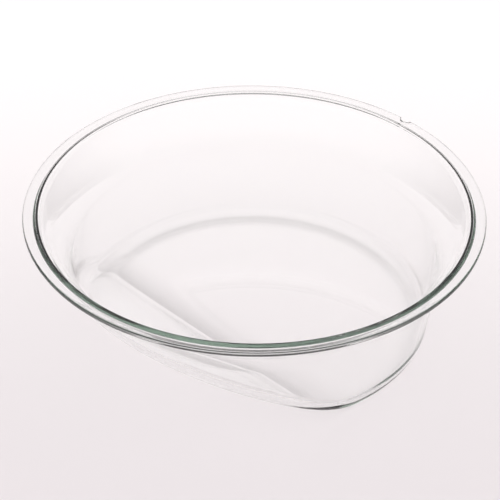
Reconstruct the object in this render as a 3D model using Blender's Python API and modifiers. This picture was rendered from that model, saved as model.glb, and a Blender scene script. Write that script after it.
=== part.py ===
"""Door glass of a front-loading washing machine: one piece of pressed clear glass.

A round bowl hangs below a flat clamping flange.  Its wall is a short collar and then two cones, down
to a flat floor, and one side is cut away by a slanted plane, the chute that turns laundry back into
the drum.  A small locating notch in the flange's edge sits opposite the chute, so the glass is
mirror-symmetric about X = 0.  The floor's underside is at Z = 0 and the flange's top at Z = DEPTH,
with the flange's axis on Z, the notch towards +Y and the chute towards -Y.
"""
import math

import bpy
import numpy as np

# ---- driving dimensions, metres and degrees -------------------------------------------------
FLANGE_D = 0.370           # outside diameter of the clamping flange
DEPTH = 0.1115             # flange top down to the underside of the floor
GLASS = 0.0044             # thickness of the glass, everywhere

FLANGE_WIDTH = 0.00851     # how far the flange stands out beyond the neck
COLLAR_HEIGHT = 0.001998   # height of the nearly upright collar under the flange
COLLAR_SLOPE = 0.10        # how far that collar closes in, per metre of depth
COLLAR_BLEND = 0.00296     # softening where the collar turns into the neck cone
NECK_SLOPE = 0.90          # how far the neck cone closes in, per metre of depth
SHOULDER = 0.0189995       # how far the lower cone, carried up to the top, lies inside the neck
SIDE_SLOPE = 0.124         # how far the lower cone closes in, per metre of depth
SHOULDER_BLEND = 0.0111    # softening where the two cones meet
FLOOR_BLEND = 0.01295      # softening of the corner between wall and floor

CHUTE_ANGLE = 28.0         # slope of the chute, up from the floor
CHUTE_START = 0.04366      # from the axis to the line where the chute leaves the floor
CHUTE_BLEND = 0.01147      # softening of the edges round the chute

EDGE_ROUND = 0.00154       # rounding of the flange's edges and of the corners at the neck
NOTCH_DEPTH = 0.004255     # how far the locating notch bites into the flange
NOTCH_R = 0.005476         # radius of the notch's round bottom

SPOKES = 116               # sections round the axis
WALL_ROWS = 20             # stations down each section, neck to floor's edge
HUB = 0.037                # radius of the plain middle of the floor

FLANGE_R = FLANGE_D / 2
FLANGE_UNDER = DEPTH - GLASS
NECK_R = FLANGE_R - FLANGE_WIDTH    # outside of the wall where it leaves the flange
SIDE_R = NECK_R - SHOULDER          # the lower cone, carried up to the flange's top


# ---- the shape of the bowl's outside -----------------------------------------------------------
def soft_max(a, b, blend):
    """The larger of a and b, with the corner between them rounded over the distance blend."""
    h = np.maximum(blend - np.abs(a - b), 0.0)
    return np.maximum(a, b) + h * h / (4 * blend)


def wall_radius(z):
    """Outside radius of the round wall at height z: an upright collar, a wide cone, a steep cone."""
    collar = NECK_R - COLLAR_SLOPE * (FLANGE_UNDER - z)
    neck = NECK_R - NECK_SLOPE * (FLANGE_UNDER - COLLAR_HEIGHT - z)
    side = SIDE_R - SIDE_SLOPE * (DEPTH - z)
    return soft_max(-soft_max(-collar, -neck, COLLAR_BLEND), side, SHOULDER_BLEND)


def outside(p):
    """Roughly the distance from the bowl's outer surface at points p, negative inside the bowl."""
    z = p[..., 2]
    step = 1e-5
    radius = wall_radius(z)
    slope = (wall_radius(z + step) - radius) / step
    wall = (np.hypot(p[..., 0], p[..., 1]) - radius) / np.sqrt(1 + slope ** 2)
    tilt = math.radians(CHUTE_ANGLE)
    chute = -(p[..., 1] + CHUTE_START) * math.sin(tilt) - z * math.cos(tilt)
    return soft_max(soft_max(wall, -z, FLOOR_BLEND), chute, CHUTE_BLEND)


def section(angle, rows):
    """Points down the bowl's outside in the half-plane at angle, from the neck to the floor's hub."""
    eye = np.array([0.0, 0.0, FLANGE_UNDER])
    dips = np.linspace(0.0, math.atan2(FLANGE_UNDER, HUB), 500)
    rays = np.stack([np.cos(dips) * math.cos(angle), np.cos(dips) * math.sin(angle), -np.sin(dips)], 1)
    near, far = np.zeros(len(dips)), np.full(len(dips), FLANGE_D)
    for _ in range(40):
        mid = (near + far) / 2
        inside = outside(eye + rays * mid[:, None]) < 0
        near, far = np.where(inside, mid, near), np.where(inside, far, mid)
    line = eye + rays * near[:, None]
    # stations crowd where the section bends
    leg = np.diff(line, axis=0)
    length = np.linalg.norm(leg, axis=1)
    unit = leg / length[:, None]
    bend = np.zeros(len(length))
    bend[1:] = np.arccos(np.clip((unit[1:] * unit[:-1]).sum(1), -1, 1))
    weight = length / length.sum() + 1.6 * bend / bend.sum()
    weight = np.convolve(np.pad(weight, 12, mode="edge"), np.ones(25) / 25, mode="valid")
    travel = np.concatenate([[0.0], np.cumsum(weight)])
    want = np.linspace(0, travel[-1], rows)
    return np.stack([np.interp(want, travel, line[:, k]) for k in range(3)], 1)


# ---- helpers ---------------------------------------------------------------------------------
def collection(name, cutters=False):
    made = bpy.data.collections.new(name)
    bpy.context.scene.collection.children.link(made)
    made.hide_render = cutters
    return made


def glass_material():
    material = bpy.data.materials.new("door_glass")
    material.use_nodes = True
    shader = material.node_tree.nodes["Principled BSDF"]
    shader.inputs["Base Color"].default_value = (0.86, 0.94, 0.90, 1.0)
    shader.inputs["Roughness"].default_value = 0.02
    shader.inputs["Metallic"].default_value = 0.0
    shader.inputs["IOR"].default_value = 1.52
    shader.inputs["Transmission Weight"].default_value = 1.0
    return material


def notch_cutter(into):
    """An upright post that leaves a round-bottomed notch in the flange's edge."""
    profile = bpy.data.meshes.new("notch_cutter")
    low, high = FLANGE_UNDER - GLASS, DEPTH + GLASS
    profile.from_pydata([(0, 0, high), (NOTCH_R, 0, high), (NOTCH_R, 0, low), (0, 0, low)],
                        [(0, 1), (1, 2), (2, 3)], [])
    cutter = bpy.data.objects.new("notch_cutter", profile)
    into.objects.link(cutter)
    cutter.location = (0, FLANGE_R - NOTCH_DEPTH + NOTCH_R, 0)
    turn = cutter.modifiers.new("turn", "SCREW")
    turn.steps = turn.render_steps = 40
    turn.use_merge_vertices = True
    turn.merge_threshold = 0.00001
    cutter.display_type = "WIRE"
    cutter.hide_render = True
    return cutter


# ---- build -----------------------------------------------------------------------------------
for old in list(bpy.data.objects):
    bpy.data.objects.remove(old, do_unlink=True)

parts = collection("washing_machine_door_glass")
cutters = collection("cutters", cutters=True)

# The bowl's underside is an open skin: flange, wall, chute and floor, lofted from the round flange
# to the floor with its one straight side.
angles = np.pi / 2 + 2 * np.pi * np.arange(SPOKES) / SPOKES
sections = []
for angle in angles:
    out = np.array([math.cos(angle), math.sin(angle)])
    rim = [(*(out * FLANGE_R), FLANGE_UNDER), (*(out * (FLANGE_R + NECK_R) / 2), FLANGE_UNDER)]
    sections.append(rim + [tuple(p) for p in section(angle, WALL_ROWS)])
rows = len(sections[0])
points = [p for row in sections for p in row] + [(0.0, 0.0, 0.0)]
faces = []
for i in range(SPOKES):
    a, b = i * rows, (i + 1) % SPOKES * rows
    faces += [(a + k, a + k + 1, b + k + 1, b + k) for k in range(rows - 1)]
    faces.append((a + rows - 1, len(points) - 1, b + rows - 1))
skin = bpy.data.meshes.new("door_glass")
skin.from_pydata(points, [], faces)
skin.update()
skin.polygons.foreach_set("use_smooth", [True] * len(skin.polygons))
glass = bpy.data.objects.new("door_glass", skin)
parts.objects.link(glass)
glass.data.materials.append(glass_material())

thick = glass.modifiers.new("glass thickness", "SOLIDIFY")
thick.thickness = GLASS
thick.offset = -1
thick.use_even_offset = True

edges = glass.modifiers.new("fire-polished edges", "BEVEL")
edges.width = EDGE_ROUND
edges.segments = 2
edges.limit_method = "ANGLE"
edges.angle_limit = math.radians(40)

notch = glass.modifiers.new("locating notch", "BOOLEAN")
notch.operation = "DIFFERENCE"
notch.solver = "EXACT"
notch.object = notch_cutter(cutters)
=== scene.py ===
"""Door glass of a front-loading washing machine, standing on a white sweep under soft studio light."""
import math

import bpy
import numpy as np
from mathutils import Matrix, Vector


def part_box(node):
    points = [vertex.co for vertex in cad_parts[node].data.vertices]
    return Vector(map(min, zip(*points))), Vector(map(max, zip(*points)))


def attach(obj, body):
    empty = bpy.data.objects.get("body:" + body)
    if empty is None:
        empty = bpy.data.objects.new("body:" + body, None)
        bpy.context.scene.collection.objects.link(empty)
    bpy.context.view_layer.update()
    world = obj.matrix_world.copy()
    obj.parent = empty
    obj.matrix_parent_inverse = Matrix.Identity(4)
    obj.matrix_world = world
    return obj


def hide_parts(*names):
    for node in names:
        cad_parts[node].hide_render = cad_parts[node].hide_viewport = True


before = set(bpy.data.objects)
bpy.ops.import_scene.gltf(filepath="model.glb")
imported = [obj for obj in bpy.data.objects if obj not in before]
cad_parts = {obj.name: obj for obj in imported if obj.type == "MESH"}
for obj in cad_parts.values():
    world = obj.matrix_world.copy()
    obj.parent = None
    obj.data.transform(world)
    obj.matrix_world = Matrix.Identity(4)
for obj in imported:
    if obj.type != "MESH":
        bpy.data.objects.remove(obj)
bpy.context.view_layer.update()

# ---- sizes, metres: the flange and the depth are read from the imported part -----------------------
low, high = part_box("door_glass")
FLANGE_D = high[0] - low[0]
DEPTH = high[2] - low[2]
GLASS = 0.0044                 # thickness of the glass, everywhere
FLANGE_R = FLANGE_D / 2
FLANGE_UNDER = DEPTH - GLASS

NECK_D = FLANGE_D * 0.954      # outside of the wall where it leaves the flange
COLLAR_HEIGHT = 0.002          # the nearly upright collar under the flange
COLLAR_SLOPE = 0.10            # how far the collar closes in, per metre of depth
COLLAR_BLEND = 0.003           # softening where the collar turns into the neck cone
NECK_SLOPE = 0.90              # how far the neck cone closes in, per metre of depth
SIDE_D = FLANGE_D * 0.8513     # the lower cone, carried up to the flange's top
SIDE_SLOPE = 0.124             # how far the lower cone closes in, per metre of depth
SHOULDER_BLEND = FLANGE_D * 0.03    # softening where the two cones meet
FLOOR_BLEND = FLANGE_D * 0.035      # softening of the corner between wall and floor
CHUTE_TILT = math.radians(28.0)     # slope of the chute, up from the floor
CHUTE_START = FLANGE_D * 0.118      # from the axis to the line where the chute leaves the floor
CHUTE_BLEND = FLANGE_D * 0.031      # softening of the edges round the chute
NOTCH_DEPTH = FLANGE_D * 0.0115     # how far the locating notch bites into the flange
NOTCH_R = FLANGE_D * 0.0148         # radius of the notch's round bottom
NOTCH_SHOULDER = 0.0010             # softening of the notch's two outer corners

RIM_ROUND = GLASS * 0.42       # round of the flange's two outer edges
STEP = 0.0006                  # the moulded step down round the mouth
STEP_R = FLANGE_R * 0.944      # where the step stands on the flange's top
STEP_ROUND = 0.0005            # rounding of the step's foot and crest
MOUTH_ROUND = 0.0012           # round of the inner top corner, where the flange turns down
NECK_FILLET = 0.0008           # fillet under the flange
HUB = FLANGE_D * 0.06          # radius of the plain middle of the floor
WALL_TOP = DEPTH - 0.007       # below this the section changes round the axis
PULL_FROM = FLANGE_R - 0.0075  # the notch draws in the flange outside this radius

SPOKES = 560                   # sections round the axis
WALL_ROWS = 96                 # stations down each side of a section
CORNER_STEPS = 7               # pieces in each rounding of the rim

# ---- studio ------------------------------------------------------------------------------------
ROOM_LIGHT = 1.21
FLOOR_NEAR_PAINTED_SHADE = (0.805, 0.775, 0.787, 1)   # painted shade: the cloth in front of the glass, darkened as if less light reached it
FLOOR_FAR_PAINTED_LIGHT = (1.0, 0.985, 0.985, 1)      # painted light: the cloth at its far end, brightened as if lit more from behind
FLOOR_HALF = 30.0
FLOOR_Z = -0.0004                       # just under the glass, so that the two don't touch
FAR_SIDE = math.radians(134.5)          # azimuth of the cloth's far end, straight away from the camera


# ---- the bowl's shape --------------------------------------------------------------------------
def soft_max(a, b, blend):
    """The larger of a and b, with the corner between them rounded over the distance blend."""
    h = np.maximum(blend - np.abs(a - b), 0.0)
    return np.maximum(a, b) + h * h / (4 * blend)


def wall_radius(z):
    """Outside radius of the round wall at height z: an upright collar, a wide cone, a steep cone."""
    collar = NECK_D / 2 - COLLAR_SLOPE * (FLANGE_UNDER - z)
    neck = NECK_D / 2 - NECK_SLOPE * (FLANGE_UNDER - COLLAR_HEIGHT - z)
    side = SIDE_D / 2 - SIDE_SLOPE * (DEPTH - z)
    return soft_max(-soft_max(-collar, -neck, COLLAR_BLEND), side, SHOULDER_BLEND)


def outside(p):
    """Roughly the distance from the bowl's outer surface at points p, negative inside the bowl."""
    z = p[..., 2]
    step = 1e-5
    radius = wall_radius(z)
    slope = (wall_radius(z + step) - radius) / step
    wall = (np.hypot(p[..., 0], p[..., 1]) - radius) / np.sqrt(1 + slope ** 2)
    chute = -(p[..., 1] + CHUTE_START) * math.sin(CHUTE_TILT) - z * math.cos(CHUTE_TILT)
    return soft_max(soft_max(wall, -z, FLOOR_BLEND), chute, CHUTE_BLEND)


def section(angle, inset, rows):
    """Points from WALL_TOP down to the hub, on the surface inset into the glass by inset."""
    eye = np.array([0.0, 0.0, WALL_TOP])
    dips = np.linspace(0.0, math.atan2(WALL_TOP - inset, HUB), 900)
    rays = np.stack([np.cos(dips) * math.cos(angle), np.cos(dips) * math.sin(angle), -np.sin(dips)], 1)
    near, far = np.zeros(len(dips)), np.full(len(dips), FLANGE_D)
    for _ in range(44):
        mid = (near + far) / 2
        inside = outside(eye + rays * mid[:, None]) + inset < 0
        near, far = np.where(inside, mid, near), np.where(inside, far, mid)
    line = eye + rays * near[:, None]
    # stations crowd where the section bends
    leg = np.diff(line, axis=0)
    length = np.linalg.norm(leg, axis=1)
    unit = leg / length[:, None]
    bend = np.zeros(len(length))
    bend[1:] = np.arccos(np.clip((unit[1:] * unit[:-1]).sum(1), -1, 1))
    weight = length / length.sum() + 1.2 * bend / bend.sum()
    weight = np.convolve(np.pad(weight, 30, mode="edge"), np.ones(61) / 61, mode="valid")
    travel = np.concatenate([[0.0], np.cumsum(weight)])
    want = np.linspace(0, travel[-1], rows)
    return np.stack([np.interp(want, travel, line[:, k]) for k in range(3)], 1)


def rounded(path, radii, steps):
    """A polyline in (r, z) with its inner corners rounded."""
    path = [np.array(p, float) for p in path]
    out = [path[0]]
    for before, corner, after, radius in zip(path, path[1:], path[2:], radii):
        a = (before - corner) / np.linalg.norm(before - corner)
        b = (after - corner) / np.linalg.norm(after - corner)
        half = math.acos(float(np.clip(a @ b, -1, 1))) / 2
        reach = radius / math.tan(half)
        mid = (a + b) / np.linalg.norm(a + b)
        centre = corner + mid * radius / math.sin(half)
        start, end = corner + a * reach - centre, corner + b * reach - centre
        turn = math.atan2(start[0] * end[1] - start[1] * end[0], start @ end)
        for k in range(steps + 1):
            c, s = math.cos(turn * k / steps), math.sin(turn * k / steps)
            out.append(centre + np.array([c * start[0] - s * start[1], s * start[0] + c * start[1]]))
    out.append(path[-1])
    return np.array(out)


def collar_at(z, inset):
    """Radius of the collar at height z, on the surface inset into the glass by inset."""
    return NECK_D / 2 - COLLAR_SLOPE * (FLANGE_UNDER - z) - inset * math.sqrt(1 + COLLAR_SLOPE ** 2)


# the flange's section: up inside the collar, over the step and the flange, back under it, down the collar
LIP = DEPTH - STEP
rim = rounded([(collar_at(WALL_TOP, GLASS), WALL_TOP), (collar_at(LIP, GLASS), LIP), (STEP_R, LIP),
               (STEP_R + STEP * 0.3, DEPTH), (FLANGE_R, DEPTH),
               (FLANGE_R, FLANGE_UNDER), (collar_at(FLANGE_UNDER, 0), FLANGE_UNDER),
               (collar_at(WALL_TOP, 0), WALL_TOP)],
              [MOUTH_ROUND, STEP_ROUND, STEP_ROUND, RIM_ROUND, RIM_ROUND, NECK_FILLET],
              CORNER_STEPS)[1:-1]
# three more stations on each long flat of the flange keep the notch's pull away from the neck
flat = []
for k in range(len(rim) - 1):
    flat.append(rim[k])
    if np.linalg.norm(rim[k + 1] - rim[k]) > 0.004:
        flat += [rim[k] + (rim[k + 1] - rim[k]) * t for t in (0.3, 0.6, 0.8)]
rim = np.array(flat + [rim[-1]])


def notch_bite(angle):
    """How far the flange's edge is drawn in at angle: a round-bottomed notch with soft shoulders."""
    u = (angle - math.pi / 2) * FLANGE_R
    if abs(u) > 2 * NOTCH_R:
        return 0.0
    bottom = NOTCH_DEPTH - NOTCH_R + math.sqrt(max(NOTCH_R ** 2 - min(abs(u), NOTCH_R) ** 2, 0.0))
    bottom -= max(abs(u) - NOTCH_R, 0.0) * 2
    return float(soft_max(np.array(bottom), np.array(0.0), NOTCH_SHOULDER))


def spokes():
    """Angles round the axis, closer at the notch and at the chute's two corners."""
    fine = np.linspace(-math.pi / 2, 3 * math.pi / 2, 20001)
    corner = math.atan2(-CHUTE_START, FLANGE_D * 0.36)
    near = sum(np.exp(-((fine - at) / math.radians(11)) ** 2) for at in (corner, math.pi - corner))
    weight = 1 + 0.9 * near + 9 * np.exp(-((fine - math.pi / 2) / math.radians(2.2)) ** 4)
    travel = np.concatenate([[0], np.cumsum((weight[1:] + weight[:-1]) / 2)])
    return np.interp(np.arange(SPOKES) / SPOKES * travel[-1], travel, fine)


rings = []
for angle in spokes():
    c, s = math.cos(angle), math.sin(angle)
    bite = notch_bite(angle)
    r = np.where(rim[:, 0] > PULL_FROM,
                 PULL_FROM + (rim[:, 0] - PULL_FROM) * (1 - bite / (FLANGE_R - PULL_FROM)), rim[:, 0])
    top = np.stack([r * c, r * s, rim[:, 1]], 1)
    inner = section(angle, GLASS, WALL_ROWS)[::-1]
    outer = section(angle, 0.0, WALL_ROWS)
    rings.append(np.concatenate([inner, top, outer]))
rows = len(rings[0])
points = np.concatenate(rings + [np.array([[0, 0, GLASS], [0, 0, 0.0]])])
faces = []
for i in range(SPOKES):
    a, b = i * rows, (i + 1) % SPOKES * rows
    faces += [(a + k, a + k + 1, b + k + 1, b + k) for k in range(rows - 1)]
    faces.append((len(points) - 2, a, b))
    faces.append((a + rows - 1, len(points) - 1, b + rows - 1))
mesh = bpy.data.meshes.new("door_glass_fine")
mesh.from_pydata(points.tolist(), [], faces)
mesh.update()
mesh.polygons.foreach_set("use_smooth", [True] * len(mesh.polygons))
glass = bpy.data.objects.new("door_glass_fine", mesh)
bpy.context.scene.collection.objects.link(glass)


# ---- materials ---------------------------------------------------------------------------------
def new_material(name):
    material = bpy.data.materials.new(name)
    material.use_nodes = True
    nodes, links = material.node_tree.nodes, material.node_tree.links
    return material, nodes, links, nodes["Principled BSDF"]


def map_range(nodes, links, value, span, out=(0.0, 1.0)):
    """Carries value from the range span to the range out."""
    node = nodes.new("ShaderNodeMapRange")
    for name, number in zip(("From Min", "From Max", "To Min", "To Max"), (*span, *out)):
        node.inputs[name].default_value = number
    links.new(value, node.inputs["Value"])
    return node.outputs["Result"]


def towards_far_side(nodes, links, vector):
    """How far vector reaches towards the cloth's far end."""
    turn = nodes.new("ShaderNodeMapping")
    turn.vector_type = "TEXTURE"
    turn.inputs["Rotation"].default_value = (0, 0, FAR_SIDE)
    links.new(vector, turn.inputs["Vector"])
    split = nodes.new("ShaderNodeSeparateXYZ")
    links.new(turn.outputs["Vector"], split.inputs["Vector"])
    return split.outputs["X"]


def ramp(nodes, links, value, start, end, interpolation="LINEAR"):
    """A colour ramp over value; start and end are each a position and a colour."""
    node = nodes.new("ShaderNodeValToRGB")
    node.color_ramp.interpolation = interpolation
    for element, (position, color) in zip(node.color_ramp.elements, (start, end)):
        element.position, element.color = position, color
    links.new(value, node.inputs["Fac"])
    return node.outputs["Color"]


def pressed_glass():
    """Clear pressed glass: faint chill waves from the mould, a little haze where hands have been."""
    material, nodes, links, shader = new_material("pressed_glass")
    shader.inputs["Base Color"].default_value = (1, 1, 1, 1)
    shader.inputs["IOR"].default_value = 1.5
    shader.inputs["Transmission Weight"].default_value = 1.0
    place = nodes.new("ShaderNodeTexCoord")
    haze = nodes.new("ShaderNodeTexNoise")
    haze.inputs["Scale"].default_value = 14.0
    haze.inputs["Detail"].default_value = 4.0
    links.new(place.outputs["Object"], haze.inputs["Vector"])
    roughness = map_range(nodes, links, haze.outputs["Fac"], (0.45, 0.75), (0.0, 0.05))
    links.new(roughness, shader.inputs["Roughness"])
    waves = nodes.new("ShaderNodeTexNoise")
    waves.inputs["Scale"].default_value = 9.0
    waves.inputs["Detail"].default_value = 1.5
    links.new(place.outputs["Object"], waves.inputs["Vector"])
    bump = nodes.new("ShaderNodeBump")
    bump.inputs["Strength"].default_value = 0.20
    bump.inputs["Distance"].default_value = 0.0003
    links.new(waves.outputs["Fac"], bump.inputs["Height"])
    links.new(bump.outputs["Normal"], shader.inputs["Normal"])
    tint = nodes.new("ShaderNodeVolumeAbsorption")
    tint.inputs["Color"].default_value = (0.50, 0.63, 0.55, 1)
    tint.inputs["Density"].default_value = 6.0
    links.new(tint.outputs["Volume"], nodes["Material Output"].inputs["Volume"])
    return material


def cloth_with_painted_falloff():
    """White cloth with a painted light falloff: its colour fades from pale grey in front to white at its
    far end, standing in for light that dims towards the viewer.
    """
    material, nodes, links, shader = new_material("floor_painted_falloff")
    place = nodes.new("ShaderNodeTexCoord")
    reach = towards_far_side(nodes, links, place.outputs["Object"])
    # painted light falloff: the cloth's colour darkens towards the camera, where a lamp's falloff would
    # shade it
    painted_falloff = map_range(nodes, links, reach, (-0.25, 0.45))
    links.new(ramp(nodes, links, painted_falloff, (0.0, FLOOR_NEAR_PAINTED_SHADE), (1.0, FLOOR_FAR_PAINTED_LIGHT), "EASE"),
              shader.inputs["Base Color"])
    shader.inputs["Roughness"].default_value = 0.9
    shader.inputs["Specular IOR Level"].default_value = 0.1
    return material


glass.data.materials.append(pressed_glass())
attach(glass, "root")
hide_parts("door_glass")

# ---- floor, light, camera ------------------------------------------------------------------------
floor_mesh = bpy.data.meshes.new("floor")
floor_mesh.from_pydata([(-FLOOR_HALF, -FLOOR_HALF, FLOOR_Z), (FLOOR_HALF, -FLOOR_HALF, FLOOR_Z),
                        (FLOOR_HALF, FLOOR_HALF, FLOOR_Z), (-FLOOR_HALF, FLOOR_HALF, FLOOR_Z)],
                       [], [(0, 1, 2, 3)])
floor = bpy.data.objects.new("floor", floor_mesh)
bpy.context.scene.collection.objects.link(floor)
floor.data.materials.append(cloth_with_painted_falloff())

world = bpy.data.worlds.new("studio")
bpy.context.scene.world = world
world.use_nodes = True
nodes, links = world.node_tree.nodes, world.node_tree.links
background = nodes["Background"]
direction = nodes.new("ShaderNodeTexCoord").outputs["Generated"]
upright = nodes.new("ShaderNodeSeparateXYZ")
links.new(direction, upright.inputs["Vector"])


def height_ramp(grey, top):
    """Grey near the horizon, white from the height top upwards."""
    return ramp(nodes, links, upright.outputs["Z"], (0.15, (grey, grey, grey, 1)),
                (top, (1.0, 0.965, 0.97, 1)))


# the room is pale on the side of the viewer, and dark low down beyond the far end of the cloth
room = nodes.new("ShaderNodeMix")
room.data_type = "RGBA"
links.new(map_range(nodes, links, towards_far_side(nodes, links, direction), (-0.2, 0.5)), room.inputs[0])
links.new(height_ramp(0.70, 0.55), room.inputs[6])
links.new(height_ramp(0.02, 0.75), room.inputs[7])
links.new(room.outputs[2], background.inputs["Color"])
background.inputs["Strength"].default_value = ROOM_LIGHT

CAMERA_AZIMUTH = math.radians(-45.5)
CAMERA_ELEVATION = math.radians(35.08)
CAMERA_DISTANCE = 7.79 * FLANGE_R
PAN, TILT, ROLL = -0.0022, -0.0249, 0.0094
aim = Vector((0, 0, DEPTH))
offset = Vector((math.cos(CAMERA_ELEVATION) * math.cos(CAMERA_AZIMUTH),
                 math.cos(CAMERA_ELEVATION) * math.sin(CAMERA_AZIMUTH), math.sin(CAMERA_ELEVATION)))
forward = -offset
right = forward.cross(Vector((0, 0, 1))).normalized()
up = right.cross(forward)
forward = (forward + right * PAN + up * TILT).normalized()
right = forward.cross(Vector((0, 0, 1))).normalized()
up = right.cross(forward)
right, up = (right * math.cos(ROLL) + up * math.sin(ROLL),
             up * math.cos(ROLL) - right * math.sin(ROLL))
camera_data = bpy.data.cameras.new("camera")
camera_data.lens = 129.6
camera_data.sensor_width = 36.0
camera = bpy.data.objects.new("camera", camera_data)
bpy.context.scene.collection.objects.link(camera)
turned = Matrix((right, up, -forward)).transposed().to_4x4()
camera.matrix_world = Matrix.Translation(aim + offset * CAMERA_DISTANCE) @ turned
camera_data.clip_end = 100
bpy.context.scene.camera = camera

bpy.context.scene.view_settings.view_transform = "Standard"
paths = bpy.context.scene.cycles
paths.blur_glossy = 0.0         # the default dims the floor seen through the glass
# light takes many total reflections inside the glass wall, and the default lengths cut it to black
paths.max_bounces = 32
paths.glossy_bounces = 24
paths.transmission_bounces = 24
